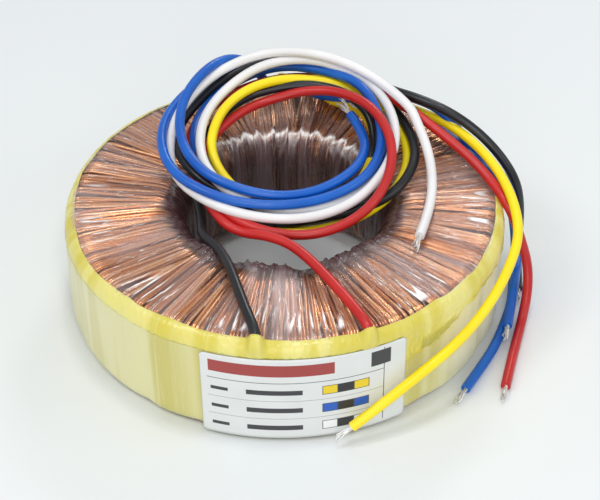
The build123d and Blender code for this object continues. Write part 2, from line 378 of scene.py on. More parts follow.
def make_wires(material):
    """The outer winding's turns. Each is a half-round strip along the ring's
    section: centre + wire radius x (cos a x outward + sin a x along the ring),
    for a from -105 to 105 degrees."""
    rim_turn, bore_turn, layer, bundle = wire_layout()
    count, rows = len(rim_turn), len(WIRE_STATIONS)
    s = np.broadcast_to(WIRE_STATIONS, (count, rows))
    radius0 = section_line(s, 0 * s)[0]
    gather = smooth_step(RING_R - radius0, 0, RING_R - BORE_R)
    depth = 0.12 + 0.88 * gather**0.8
    ripple = rng.uniform(0, TAU, (count, 1))
    bundle_lift = rng.uniform(0, 0.5, bundle.max() + 1)[bundle][:, None]
    wander = np.sin(s * rng.uniform(0.9, 1.9, (count, 1)) + ripple)
    inset = WIRE_D / 2 + (layer[:, None] * depth + bundle_lift * 0.5) * WIRE_D
    inset += 0.06 * WIRE_D * (1 + np.sin(s * 2.3 + 2 * ripple))
    turn = rim_turn[:, None] * (1 - gather) + bore_turn[:, None] * gather
    turn = turn + wander * 0.16 * MM / radius0
    radius, height, angle = section_line(s, inset)
    a = np.radians(np.linspace(-105, 105, WIRE_SIDES))
    out = WIRE_D / 2 * np.cos(a)
    side = WIRE_D / 2 * np.sin(a)
    r = radius[..., None] + out * np.cos(angle)[..., None]
    z = height[..., None] + out * np.sin(angle)[..., None]
    points = on_ring(turn[..., None] + side / radius[..., None], r, z)
    quads = grid_faces(rows, WIRE_SIDES)[:, ::-1]
    faces = repeat_faces(quads, count, rows * WIRE_SIDES)
    along = np.broadcast_to(s[..., None] / 7, (count, rows, WIRE_SIDES))
    which = np.broadcast_to(((np.arange(count) * 0.618) % 1)[:, None, None], along.shape)
    uv = np.stack([along, which], -1)
    return add_piece("winding_turns", points, faces, material, "copper_wire", uv)


BED_DEPTH = 1.5 * MM
BED_LINES = 59


def make_bed(material):
    """The lower layers seen between the turns: the ring's section, moved in
    and carried all round as one closed skin."""
    stations = np.concatenate([[0.0], WIRE_STATIONS, [7.0]])
    turns = np.linspace(0, TAU, 240, endpoint=False)
    s, turn = np.meshgrid(stations, turns, indexing="ij")
    radius, height = section_line(s, BED_DEPTH + 0 * s)[:2]
    points = on_ring(turn, radius, height)
    faces = grid_faces(len(stations), len(turns), close_rows=True, close_columns=True)
    return add_piece("winding_bed", points, faces, material, "copper_wire")


def copper_wire():
    """Enamelled copper: tone changes from turn to turn and along each turn,
    with darker varnish in places."""
    s = Shader("copper_wire", IOR=1.5, Coat_Roughness=0.08, Anisotropic=0.3)
    uv = s.place("UV")
    which = s.part_of(uv, 1)
    along = s.place("UV", scale=(5, 400, 1))
    streak = s.noise(along, 1, detail=2)
    per_turn = s.node("ShaderNodeTexWhiteNoise", {"noise_dimensions": "1D"}, {"W": which * 971})
    tone = s.ramp(
        per_turn * 0.6 + streak * 0.4,
        (0.2, (0.20, 0.055, 0.016)),
        (0.40, (0.60, 0.22, 0.075)),
        (0.60, (0.90, 0.42, 0.17)),
        (0.85, (0.98, 0.62, 0.36)),
    )
    at = s.place()
    patch = s.noise(at, 60, detail=3).between(0.52, 0.75)
    tone = s.mix(patch * 0.35, tone, (0.24, 0.09, 0.06))
    rough = 0.20 + streak * 0.14 + patch * 0.12
    surface = s.bump(streak, 0.15, 0.0001)
    return s.finish(Base_Color=tone, Metallic=0.72 + 0.25 * per_turn, Roughness=rough,
                    Normal=surface, Coat_Weight=0.7)


def shaded_bed():
    """Lower turns in shadow: dark brown with fine radial lines of copper."""
    s = Shader("lower_turns", Roughness=0.5, Metallic=0.3)
    at = s.place()
    turn = s.part_of(at, 1).maths("ARCTAN2", s.part_of(at, 0))
    lines = s.node("ShaderNodeTexWhiteNoise", {"noise_dimensions": "1D"},
                   {"W": (turn * BED_LINES).maths("FLOOR")})
    tone = s.mix(lines, (0.040, 0.014, 0.010), (0.22, 0.075, 0.035))
    return s.finish(Base_Color=tone, Roughness=0.35 + lines * 0.3)


wires = make_wires(copper_wire())
make_bed(shaded_bed())
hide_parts("main_secondary")


# ---------------------------------------------------------------------------
# Leads
# ---------------------------------------------------------------------------

# Where the leads run, in millimetres: the part's own points, some of them left
# out or moved by up to 10 mm so that the leads lie better on the dressed ring.
EXIT_R = 57.02
EXIT_Z = 33.9
RED_EXIT = 20.0
BLACK_EXIT = -7.7
REAR_EXITS = {
    "blue_bore": 180.0,
    "black_tap": 175.6,
    "blue_long": 171.2,
    "yellow": 166.8,
    "white": 162.4,
    "blue_short": 158.0,
}
RED_START = [
    (15.9, -46.6, 34.3), (11.2, -38.2, 34.5), (6.2, -30.2, 34.9),
    (1.0, -23.9, 34.3), (-5.0, -19.5, 32.4), (-11.5, -15.8, 30.6),
]
BLACK_START = [
    (-10.2, -48.3, 34.3), (-12.6, -38.8, 34.4), (-14.8, -30.2, 34.9),
    (-17.6, -23.0, 34.6), (-22.2, -15.4, 31.6),
]
# From a rear exit: way round (+ is clockwise), way in, and height above the ring.
REAR_START = [(0.9, 6.6, 1.9), (3.4, 11.6, 4.9)]
BORE_END_START = [(-0.9, 6.4, 1.9)]

FREE_ENDS = {
    "black": [
        (30.5, 35.0, 43.4), (37.5, 29.5, 43.0), (46.0, 24.5, 41.2),
        (54.0, 19.4, 40.0), (60.4, 14.4, 37.4), (65.0, 11.2, 30.8),
        (66.6, 10.4, 21.4), (66.8, 10.0, 11.6), (66.6, 7.4, 4.2),
        (66.4, 2.4, 1.6), (65.8, -3.6, 1.5),
    ],
    "blue_long": [
        (30.0, 37.0, 42.6), (37.0, 32.2, 41.9), (45.0, 26.8, 40.0),
        (52.4, 19.4, 37.0), (58.2, 12.4, 35.6), (62.4, 8.0, 30.6),
        (64.6, 6.0, 22.8), (66.0, 4.8, 14.6), (65.6, 0.6, 8.8),
        (63.8, -7.2, 5.5), (62.0, -14.8, 4.5), (60.2, -22.2, 4.3),
    ],
    "blue_short": [
        (30.5, 38.0, 41.4), (37.5, 34.2, 38.6), (45.5, 26.6, 36.2),
        (52.0, 17.0, 34.3), (57.0, 8.2, 34.0), (61.6, 3.2, 31.2),
        (63.4, 1.4, 24.0), (64.8, 1.0, 14.4), (64.6, -1.6, 5.4),
        (63.0, -10.2, 1.5), (60.0, -18.8, 1.5), (56.6, -27.0, 1.5),
        (52.0, -35.2, 1.5), (46.8, -43.6, 1.5),
    ],
    "red": [
        (28.0, 32.6, 43.6), (36.0, 25.8, 42.0), (44.0, 17.8, 40.4),
        (51.4, 9.8, 37.6), (57.6, 1.2, 35.0), (62.0, -3.8, 28.8),
        (64.6, -5.2, 20.4), (67.0, -6.2, 11.4), (67.2, -9.6, 3.6),
        (65.0, -17.4, 1.5), (62.4, -25.8, 1.5), (59.8, -34.4, 1.5),
        (57.4, -42.9, 1.5),
    ],
    "yellow": [
        (32.2, 34.0, 41.2), (39.2, 30.8, 39.2), (46.6, 24.0, 38.8),
        (53.6, 14.8, 38.4), (59.0, 4.6, 37.0), (62.0, -5.4, 33.6),
        (62.4, -14.4, 29.0), (58.4, -24.4, 24.8), (52.2, -35.0, 22.2),
        (43.6, -45.4, 19.6), (33.2, -53.4, 16.2), (22.6, -58.8, 10.2),
        (16.0, -61.0, 5.6),
    ],
    "white": [
        (37.0, 20.6, 42.2), (39.8, 10.4, 39.4), (40.2, 0.0, 36.6),
        (38.4, -10.2, 34.7), (35.0, -20.2, 34.3),
    ],
}

# Each lead's turns in the coil: way round in degrees (0 is right, 90 the back,
# falling numbers go clockwise), radius and height above the coil's middle. They
# were read off the photo and turned into the coil's plane, where a lead shows;
# heights and hidden stretches were given.
COIL_TURNS = {
    "red": [
        (-123, 34.5, 0.5), (-133, 33.5, -0.5), (-150, 30, -2), (-165, 26, -3),
        (-180, 22.5, -2), (-202, 19.7, -1), (-228, 19, 0), (-262, 19.1, 1),
        (-294, 21, 2), (-325, 24, 3), (-349, 26.8, 4), (-372, 28.4, 5),
        (-398, 30.1, 5), (-422, 32.1, 4.5), (-451, 34.3, 2.5), (-480, 33, 0),
        (-518, 29.5, -2), (-536, 28.7, -2), (-566, 29.1, -2), (-619, 27.7, -2),
        (-637, 28, -2), (-662, 30.2, -1), (-680, 32, -1),
    ],
    "black": [
        (-132, 35.4, -1.5), (-150, 31.5, -3.5), (-165, 27.5, -4), (-180, 24, -3),
        (-206, 22.9, -1), (-223, 23.1, 0), (-248, 22.2, 1), (-278, 22.1, 2),
        (-306, 24.1, 1), (-326, 25.6, -1), (-343, 24.5, -3), (-360, 23.5, -4),
        (-406, 22, -4), (-451, 22.5, -2), (-465, 22.9, -1), (-496, 27.4, 0),
        (-515, 30.5, 0), (-531, 32.2, 0), (-544, 32.2, -1), (-570, 31.5, -1),
        (-600, 32.5, -1), (-620, 33, 0), (-650, 33.4, -0.4), (-672, 34, -1),
    ],
    "black_tap": [
        (45, 32, -2), (15, 33.3, -1), (-1, 35.2, 0),
        (-19, 36.1, 0), (-42, 31.9, 0), (-62, 29.7, -1), (-94, 29.7, -2),
        (-118, 29.5, -3), (-140, 30.5, -3.5), (-160, 29, -4),
    ],
    "white": [
        (30, 29, -2), (13, 28.3, -1), (-1, 29.4, -1),
        (-30, 27.5, -1), (-56, 25.6, 0), (-91, 25.9, 1), (-133, 25.9, 2),
        (-157, 25.6, 2), (-185, 24.9, 2), (-228, 26.9, 2), (-254, 29.6, 1),
        (-276, 31.3, 1), (-303, 31.6, 1), (-332, 30.4, 1), (-356, 29.6, 1),
        (-389, 27.4, 2), (-419, 27.3, 3), (-446, 28, 3), (-477, 30.4, 2),
        (-510, 34.9, 1), (-532, 33.8, 1), (-569, 32.4, 2), (-600, 33.8, 3),
        (-631, 34.4, 4), (-657, 32.5, 5), (-681, 33.4, 4), (-700, 35, 3),
    ],
    "yellow": [
        (38, 27, -4), (20, 25, -4), (-10, 23, -4), (-60, 22.5, -3),
        (-110, 22.5, -3), (-169, 22.5, -1), (-185, 21.4, 0), (-235, 21.9, 1),
        (-263, 23.7, 2), (-303, 26.4, 1), (-321, 29.6, -1), (-343, 32.2, -2),
        (-374, 33.5, -2), (-400, 32.7, -2), (-424, 31.7, -2), (-456, 31.4, -2),
        (-480, 32.6, -3), (-518, 27, -3), (-550, 25, -3), (-581, 24.1, -2),
        (-611, 25.5, -1), (-635, 26, -1), (-665, 29.5, 0), (-682, 30, 1),
    ],
    "blue_long": [
        (41, 29.2, -4), (20, 27.5, -4), (-20, 25.5, -4), (-70, 25, -4),
        (-120, 26, -3), (-166, 26.8, -2), (-190, 27.2, -1), (-225, 29.3, -1),
        (-255, 32, -1), (-276, 31, 0), (-300, 29.1, 1), (-326, 27.2, 2),
        (-357, 25.4, 3), (-386, 23.9, 3), (-430, 22.2, 3), (-464, 24.8, 3),
        (-497, 30.1, 4), (-515, 34.5, 4), (-539, 36.6, 3), (-567, 34.6, 1),
        (-595, 34.2, 0), (-625, 34.6, -1), (-650, 35.5, -1), (-674, 36, -1),
    ],
    "blue_bore": [
        (124, 36.3, 4), (136, 35.5, 5), (156, 33.1, 6),
        (176, 30.6, 6), (196, 28, 6), (214, 25, 6), (238, 21.4, 5.5),
        (268, 19.1, 5), (295, 18.1, 4.5), (315, 18.7, 4), (352, 21.2, 2),
        (377, 20.9, 1), (392, 19.9, 0),
    ],
}
TURN_STEP = 26

# Where three rear leads come up into the coil or over its side.
RISES = {
    "blue_bore": [(-4.6, 47.4, 38.4), (-9.6, 50.0, 45.0)],
    "black_tap": [(14.5, 43.5, 41.5)],
    "blue_short": [(23.6, 39.2, 40.4)],
}


def wind(stations):
    """A coil's points: radius and height run evenly between stations, in the
    coil's own leaning plane, with steps short enough for a round spline."""
    angles, radii, heights = np.array(stations, float).T
    along = angles if angles[-1] > angles[0] else -angles
    count = max(2, round((along[-1] - along[0]) / TURN_STEP) + 1)
    at = np.linspace(along[0], along[-1], count)
    angle = np.radians(np.interp(at, along, angles))
    radius = np.interp(at, along, radii) / math.cos(math.radians(TURN_STEP / 4)) ** 1.5
    height = np.interp(at, along, heights)
    return np.stack([radius * np.cos(angle), radius * np.sin(angle) - 0.75 * height, height], 1)


def in_row_frame(points):
    """Points in the coil's plane, in millimetres, to metres in the row frame."""
    x, v, n = points.T * MM
    lean_cos, lean_sin = math.cos(COIL_LEAN), math.sin(COIL_LEAN)
    local = np.stack([x, v * lean_cos - n * lean_sin, v * lean_sin + n * lean_cos], 1)
    return COIL_CENTRE + local


def under_tape(turn_degrees):
    """A lead's last two points: bent down over the rim's corner under the
    tape, and at the tape's edge."""
    turn = math.radians(turn_degrees)
    radius = np.array([EXIT_R + 2.0, EXIT_R]) * MM
    return on_ring(turn, radius, np.array([EXIT_Z - 1.35, EXIT_Z]) * MM)


def front_start(turn_degrees, route):
    """A front lead's points from its end under the tape."""
    return np.concatenate([under_tape(turn_degrees), np.array(route) * MM])


def rear_start(name):
    """A rear lead's points from its exit, round and up into the coil."""
    local = np.array(BORE_END_START if name == "blue_bore" else REAR_START)
    turn = math.radians(REAR_EXITS[name])
    radius = EXIT_R - local[:, 1]
    x = radius * math.sin(turn) - local[:, 0] * math.cos(turn)
    y = -radius * math.cos(turn) - local[:, 0] * math.sin(turn)
    points = [np.stack([x, y, RING_TOP / MM + local[:, 2]], 1) * MM]
    if name in RISES:
        points.append(np.array(RISES[name]) * MM)
    return np.concatenate([under_tape(REAR_EXITS[name])] + points)


def lead_points(name):
    """All of a lead's control points, from its exit to its far end."""
    if name == "red":
        start = front_start(RED_EXIT, RED_START)
    elif name == "black":
        start = front_start(BLACK_EXIT, BLACK_START)
    else:
        start = rear_start(name)
    parts = [start]
    if name in COIL_TURNS:
        parts.append(in_row_frame(wind(COIL_TURNS[name])))
    if name in FREE_ENDS:
        parts.append(np.array(FREE_ENDS[name]) * MM)
    return np.concatenate(parts)


def spline_curve(name, points, diameter, material):
    """One open NURBS spline through its control points, as a round cord."""
    curve = bpy.data.curves.new(name, "CURVE")
    curve.dimensions = "3D"
    curve.resolution_u = 6
    curve.render_resolution_u = 6
    curve.bevel_depth = diameter / 2
    curve.bevel_resolution = 4
    curve.use_fill_caps = True
    spline = curve.splines.new("NURBS")
    spline.points.add(len(points) - 1)
    weighted = np.concatenate([points, np.ones((len(points), 1))], 1)
    spline.points.foreach_set("co", weighted.ravel().tolist())
    spline.order_u = 3
    spline.use_endpoint_u = True
    spline.use_smooth = True
    curve.materials.append(material)
    cord = add_object(name, curve)
    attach(cord, "root")
    return cord


def quadratic_line(points, steps=6):
    """Points along the uniform quadratic spline, for lengths and distances."""
    ends = np.concatenate([points[:1] * 2 - points[1:2], points, points[-1:] * 2 - points[-2:-1]])
    t = (np.arange(steps) / steps)[None, :, None]
    a, b, c = ends[:-2, None], ends[1:-1, None], ends[2:, None]
    line = 0.5 * (a * (1 - t) ** 2 + b * (1 + 2 * t - 2 * t * t) + c * t * t)
    return line.reshape(-1, 3)


def ring_clearance(points):
    """Signed distance from points to the wound ring: a rounded rectangle turned
    round the axis, with a larger corner at the bore than at the rim."""
    r = np.hypot(points[:, 0], points[:, 1])
    z = np.abs(points[:, 2] - MID_Z)
    middle = (BORE_R + RING_R) / 2
    corner = np.where(r < middle, BORE_CORNER, RIM_CORNER)
    qx = np.abs(r - middle) - (RING_R - BORE_R) / 2 + corner
    qz = z - MID_Z + corner
    outside = np.hypot(np.maximum(qx, 0), np.maximum(qz, 0))
    return outside + np.minimum(np.maximum(qx, qz), 0) - corner


SETTLE_ROUNDS = 60
SETTLE_GAP = 0.1 * MM
OWN_REACH = 14 * MM
PUSH_STEP, LIFT_STEP, RELAX_STEP = 0.6, 0.7, 0.02


def settle(lines):
    """Moves the leads apart along the coil's axis: where two lines come closer
    than a diameter, the upper moves up and the lower down. Which is the upper
    is decided sample by sample, so where two lines cross at one height their
    pushes cancel, and there the leads still run through each other."""
    names = list(lines)
    controls = [lines[name].copy() for name in names]
    steps = 6
    samples = [quadratic_line(c, steps) for c in controls]
    owner = np.concatenate([np.full(len(c), k) for k, c in enumerate(samples)])
    place = np.concatenate([np.arange(len(c)) for c in samples])
    up = np.array([0, -math.sin(COIL_LEAN), math.cos(COIL_LEAN)])
    apart = LEAD_D + SETTLE_GAP
    own_reach = int(round(OWN_REACH / np.linalg.norm(samples[0][1] - samples[0][0])))
    same = (owner[:, None] == owner[None]) & (np.abs(place[:, None] - place[None]) < own_reach)
    order = None
    for _ in range(SETTLE_ROUNDS):
        points = np.concatenate([quadratic_line(c, steps) for c in controls])
        height = points @ up
        flat = points - height[:, None] * up
        across = ((flat[:, None] - flat[None]) ** 2).sum(-1)
        drop = height[:, None] - height[None]
        if order is None:
            order = np.where(drop > 0, 1.0, -1.0)
        near = (across < apart**2) & ~same
        near &= np.abs(drop) < 4 * apart
        need = np.sqrt(np.maximum(apart**2 - across, 0))
        push = np.where(near, np.maximum(need - drop * order, 0), 0) * order * 0.5
        rise = push.max(1)
        sink = push.min(1)
        lift = PUSH_STEP * (rise + sink)
        floor_lift = np.maximum(LEAD_D / 2 + 0.1 * MM - ring_clearance(points), 0)
        lift = np.where(floor_lift > 0, np.maximum(lift, 0) + LIFT_STEP * floor_lift, lift)
        start = 0
        for k, control in enumerate(controls):
            count = len(control)
            own = lift[start : start + count * steps].reshape(count, steps)
            start += count * steps
            strongest = np.where(np.abs(own.max(1)) > np.abs(own.min(1)), own.max(1), own.min(1))
            beside = np.roll(strongest, 1)
            beside[0] = 0
            ahead = np.roll(strongest, -1)
            ahead[-1] = 0
            moved = 0.6 * strongest + 0.2 * beside + 0.2 * ahead
            moved[:2] = 0
            moved[-2:] = 0
            control += moved[:, None] * up
            bend = control[2:] + control[:-2] - 2 * control[1:-1]
            relax = RELAX_STEP * (bend @ up)
            relax[:2] = 0
            relax[-3:] = 0
            control[1:-1] += relax[:, None] * up
            control[:, 2] = np.maximum(control[:, 2], LEAD_D / 2 + 0.05 * MM)
    gaps = np.sqrt(across + drop**2)[~same]
    print("leads settled: closest", round(gaps.min() / MM, 2), "mm, ring",
          round((ring_clearance(points).min() - LEAD_D / 2) / MM, 2), "mm")
    return dict(zip(names, controls))


# Each lead's name starts with its colour.
LEADS = ["red", "black", "black_tap", "white", "yellow", "blue_long", "blue_bore", "blue_short"]
lead_lines = settle({name: lead_points(name) for name in LEADS})

STRAND_SIDES = 5
# Each bared end: its length in mm, how many strands it has, how far they fan
# out and how much they are twisted.
BARED_ENDS = {
    "red": (5.4, 8, 0.25, 0.5),
    "black": (4.4, 7, 0.35, 0.4),
    "black_tap": (5.0, 7, 0.6, 0.5),
    "white": (5.0, 8, 0.75, 0.35),
    "yellow": (5.0, 7, 0.5, 0.4),
    "blue_long": (5.4, 9, 0.45, 0.6),
    "blue_bore": (6.4, 11, 1.9, 0.3),
    "blue_short": (6.0, 9, 0.9, 0.45),
}


def make_strands(name, end, heading, material):
    """A lead's bared strands: thin tubes side by side in a bundle that runs on
    from the insulation's end. Each strand's line is the bundle's line, plus its
    own place in the bundle turned by the twist, plus its own fan outwards that
    grows with the square of the way along."""
    length, count, fan, twist = BARED_ENDS[name]
    rows = 11
    along = np.linspace(-0.12, 1, rows)
    heading = heading / np.linalg.norm(heading)
    side = np.cross(heading, [0, 0, 1.0])
    side /= np.linalg.norm(side)
    up = np.cross(side, heading)
    first = np.arange(count) / count * TAU + rng.uniform(-0.2, 0.2, count)
    ring = np.where(np.arange(count) < 2, 0.12, 0.47) * MM
    turn = first[:, None] + twist * TAU * along * rng.uniform(0.8, 1.2, (count, 1))
    reach = rng.uniform(0.82, 1.05, (count, 1)) * length * MM
    spread = ring[:, None] + np.clip(along, 0, 1) ** 2 * fan * rng.uniform(0, 1, (count, 1)) * MM
    bend = rng.normal(0, 0.22 * fan + 0.05, (count, 2, 1)) * np.clip(along, 0, 1) ** 2 * MM
    line = end + (along * reach)[..., None] * heading
    line = line + (spread * np.cos(turn) + bend[:, 0])[..., None] * side
    line = line + (spread * np.sin(turn) + bend[:, 1])[..., None] * up
    line[..., 2] = np.maximum(line[..., 2], 0.25 * MM)
    a = np.arange(STRAND_SIDES) / STRAND_SIDES * TAU
    thick = STRAND_D / 2 * np.where(along > 0.97, 0.45, 1.0)[:, None]
    points = (line[:, :, None] + (thick * np.cos(a))[None, ..., None] * side
              + (thick * np.sin(a))[None, ..., None] * up)
    quads = grid_faces(rows, STRAND_SIDES, close_columns=True)
    faces = repeat_faces(quads, count, rows * STRAND_SIDES)
    return add_piece("strands_" + name, points, faces, material, "tinned_strands")


def tinned_copper():
    """Tinned strands: dull silver with a few coppery and dark spots."""
    s = Shader("tinned_copper", Metallic=0.6)
    at = s.place()
    spots = s.noise(at, 1500, detail=2)
    cloud = s.noise(at, 500, detail=2)
    tone = s.mix(cloud.between(0.25, 0.6), (0.62, 0.60, 0.57), (0.95, 0.94, 0.92))
    tone = s.mix(spots.between(0.62, 0.75) * 0.6, tone, (0.50, 0.30, 0.17))
    rough = 0.22 + cloud * 0.25
    return s.finish(Base_Color=tone, Roughness=rough, Normal=s.bump(spots, 0.3, 0.0001))


tinned = tinned_copper()

for name in LEADS:
    color = name.split("_")[0]
    points = lead_lines[name]
    line = quadratic_line(points)
    cord = spline_curve("lead_" + name, points, LEAD_D, vinyls[color])
    "lead_" + color
    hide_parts(name + "_start", "lead_coil")
    strands = make_strands(name, points[-1], points[-1] - points[-2], tinned)
    if name in FREE_ENDS:
        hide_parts(name + "_end")
        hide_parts(name + "_tip")


# ---------------------------------------------------------------------------
# Film and tapes
# ---------------------------------------------------------------------------


def folded_band(turn, creases, depth):
    """Height round a pulled tape: straight runs between unevenly spaced creases,
    each crease raised or sunk by up to the depth."""
    places = (np.arange(creases) + rng.uniform(-0.4, 0.4, creases)) / creases * TAU
    heights = rng.uniform(-1, 1, creases) * depth
    return np.interp(turn, places, heights, period=TAU)


def ripples(turn, along, waves, cycles, slant):
    """Uneven relief from about -1 to 1: cosine waves added up, each with its
    own whole number of cycles round the ring, slant and start."""
    total = 0 * turn
    for _ in range(waves):
        total = total + np.cos(rng.integers(*cycles) * turn + rng.uniform(*slant) * along
                               + rng.uniform(0, TAU))
    return total / math.sqrt(waves / 2)


def crumples(turn, along, waves, cycles, slant):
    """Sharp ridges, 1 at the crest and 0 between: one less the size of ripples."""
    return np.clip(1 - np.abs(ripples(turn, along, waves, cycles, slant)), 0, 1)


# Where the front leads press the film down over the bore's edge, in radians.
PRESSED = np.array([-0.50, 0.16])


def make_clear_film(material):
    """Clear film wound over the turns: the ring's section carried round the
    axis, lifted by fine radial creases. It is bunched into a scalloped collar
    round the bore's upper edge, held low where the leads lie over it."""
    turns = np.linspace(0, TAU, 960, endpoint=False)
    s, turn = np.meshgrid(FILM_STATIONS, turns, indexing="ij")
    signed = from_front(turn)
    back = smooth_step(-np.cos(turn), -0.1, 0.75)
    free = smooth_step(np.abs(np.cos(turn)), 0.45, 0.75)
    for place in PRESSED:
        free = free * (1 - hump(signed, place, 0.13, 4))
    wall = np.clip(1 - np.abs(s - 3.5) / 0.9, 0, 1)
    rim = hump(s, 1.0, 0.2) + hump(s, 6.0, 0.18)
    under = hump(s, 4.5, 0.36)
    fine = crumples(turn, s, 8, (60, 200), (-6, 6))
    bunched = crumples(turn, s, 6, (24, 60), (-5, 5))
    gathered = ripples(turn, s, 5, (14, 34), (-2, 2))
    scallops = np.abs(ripples(turn, 0 * s, 4, (18, 34), (0, 1)))
    crest = 2.27 + 0.05 * scallops
    collar = hump(s, crest, np.where(s < crest, 0.15, 0.42))
    lift = 0.07 + 0.10 * fine + rim * 0.20 * bunched + wall * 0.3 * bunched
    lift = lift + under * (0.40 * bunched**2 + 0.22 * gathered)
    lift = lift + collar * (0.55 + 1.25 * free + 0.5 * bunched * (0.3 + free) + 0.15 * gathered)
    radius, height = section_line(s, -np.maximum(lift, 0.04) * MM)[:2]
    slip = collar * 0.4 * MM * ripples(turn, s, 5, (20, 60), (-4, 4)) / radius
    points = on_ring(turn + slip, radius, height)
    faces = grid_faces(len(FILM_STATIONS), len(turns), close_columns=True)
    # Painted highlight: a white glint line along the crest of the bore's collar, strong at the
    # back and faint at the front.
    line = hump(s, crest + 0.02, 0.040) * 1.5
    painted_glow = hump(s, crest + 0.05, 0.100) * 0.6 * bunched**3
    painted_glare = np.maximum(line * (0.5 + 0.5 * fine), painted_glow) * (0.06 + 0.94 * back)
    # Painted shade: the film is made dark down the bore's wall, reaching further up over the
    # collar round the front.
    throat = smooth_step(s, crest + 0.04 - 0.24 * (1 - back), crest + 0.16 - 0.20 * (1 - back))
    throat = throat * (1 - smooth_step(s, 4.3, 4.6))
    # Painted shade: the collar is made dark round the front of the bore's edge.
    lip = collar * (1 - back)
    # Paler where the film is bunched in the collar: partly real haze, partly painted sheen that is
    # strong at the back and weak at the front.
    crease = collar * smooth_step(bunched, 0.55, 0.95) * (0.15 + 0.85 * back)
    # Painted highlight: white flares near the top face's outer edge, over the front half.
    patch = smooth_step(ripples(turn, s, 4, (7, 19), (-2, 2)), -0.2, 0.8)
    sliver = smooth_step(crumples(turn, s, 5, (30, 75), (-3, 3)), 0.62, 0.86)
    reach = hump(s, 1.10 + 0.10 * patch, 0.08 + 0.12 * patch)
    flare = reach * sliver * smooth_step(patch, 0.1, 0.6) * smooth_step(np.cos(turn), -0.5, 0.5)
    flare = np.clip(1.9 * flare, 0, 1)
    veil = hump(signed, -0.02, 0.15, 4) * (0.4 + 0.6 * bunched)
    veil = veil * smooth_step(s, 1.1, 1.5) * (1 - smooth_step(s, 1.9, 2.2)) * 0.34
    veil = veil + 0.16 * smooth_step(ripples(turn, s, 4, (3, 11), (-1, 1)), 0.1, 0.9)
    return add_piece("clear_film", points, faces, material, "clear_film",
                     ridge=painted_glare, throat=throat, bunch=crease, flare=flare, veil=veil,
                     lip=lip)


def clear_film():
    """Thin clear film: glassy over the turns, hazy where it laps, and pale along
    its creases and where it is bunched, partly as real haze and partly as painted
    sheen. Painted highlights make it white along the bore's upper edge at the back
    and in flares near the rim at the front; painted shade makes it dark down the
    wall of the bore and round the bore's edge at the front."""
    s = Shader("clear_film", IOR=1.48)
    streaks = s.noise(s.round_the_axis(24, 40, 40), 1, detail=3)
    laps = s.noise(s.round_the_axis(7, 18, 18), 1, detail=1, roughness=0.3)
    fine = s.noise(s.round_the_axis(80, 240, 240), 1, detail=3, distortion=0.6)
    # Pale crease lines, partly real pale film and partly painted highlight, and painted glitter:
    # fine white glints over the turns.
    lines = s.crease(streaks, 0.018) * fine.between(0.45, 0.6)
    painted_glitter = fine.between(0.66, 0.74)
    ridge, throat = s.mark("ridge"), s.mark("throat")
    bunch, flare = s.mark("bunch"), s.mark("flare")
    # Painted highlight: near white along the collar's glint line and in the flares near the rim.
    painted_white = (ridge * fine.between(0.2, 0.45) + flare * fine.between(0.15, 0.4)).clamped()
    haze = laps.between(0.46, 0.60) * 0.18 + streaks.between(0.5, 0.75) * 0.22 + s.mark("veil")
    slots = streaks.between(0.36, 0.56)
    cover = 0.05 + haze + 0.5 * lines + 0.35 * painted_glitter + throat * (0.30 + 0.40 * slots)
    cover = cover + bunch * 0.35 + painted_white * 0.95
    tone = s.mix(lines + painted_glitter, (0.68, 0.53, 0.51), (1.0, 0.96, 0.94))
    # Painted shade: a dark smoky tone for the film down the bore's wall.
    painted_wall_shade = s.mix(laps.between(0.4, 0.6), (0.045, 0.017, 0.018), (0.12, 0.065, 0.07))
    tone = s.mix(throat * 0.92, tone, painted_wall_shade)
    # Bunched film paler: real haze with painted sheen at the back.
    tone = s.mix(bunch * 0.55, tone, (0.44, 0.35, 0.36))
    # Painted shade: dark round the front of the bore's edge.
    tone = s.mix(s.mark("lip") * 0.9, tone, (0.075, 0.028, 0.034))
    tone = s.mix(painted_white, tone, (1.0, 0.98, 0.95))
    relief = streaks + fine * 0.35 + laps * 0.6
    surface = s.bump(relief, 0.7, 0.0005)
    rough = 0.05 + fine * 0.10
    return s.finish(Base_Color=tone, Alpha=cover.clamped(), Roughness=rough, Normal=surface)


TAPE_EDGE_R = 57.42 * MM
TAPE_EDGE_ANGLE = math.acos((TAPE_EDGE_R - (RING_R - RIM_CORNER)) / RIM_CORNER)

# The shares of a tape's width that lie round the rim's upper corner, and of the
# wide tape's that lie on the wall and round the lower corner.
FOLD_SHARE, WALL_SHARE, FOOT_SHARE = 0.35, 0.5, 0.15


def fold_angle(share, top_angle):
    """A tape's angle round the rim's upper corner, from its edge to the wall."""
    return np.where(share < FOLD_SHARE, top_angle * (1 - share / FOLD_SHARE), 0.0)


def rim_section(share, top_angle):
    """Angle and centre height along the wide tape's section: from its top edge
    round the rim's corner, down the wall, and round the lower corner by the
    same angle."""
    drop = np.clip((share - FOLD_SHARE) / WALL_SHARE, 0, 1)
    centre = CORNER_Z + (RIM_CORNER - CORNER_Z) * drop
    below = np.clip((share - FOLD_SHARE - WALL_SHARE) / FOOT_SHARE, 0, 1)
    return fold_angle(share, top_angle) - top_angle * below, centre


def rim_points(turn, angle, centre, lift):
    """Points on the rim: out from the corner's centre along the angle."""
    reach = RIM_CORNER + lift
    radius = RING_R - RIM_CORNER + reach * np.cos(angle)
    return on_ring(turn, radius, centre + reach * np.sin(angle))


turn_steps = np.linspace(0, TAU, 1080, endpoint=False)
label_turns = np.radians(np.array([-22.5, -21.0, 29.3, 30.8]))


def under_label(turn):
    """1 where the label lies, fading to 0 just past its ends."""
    return np.interp(from_front(turn), label_turns, [0, 1, 1, 0])


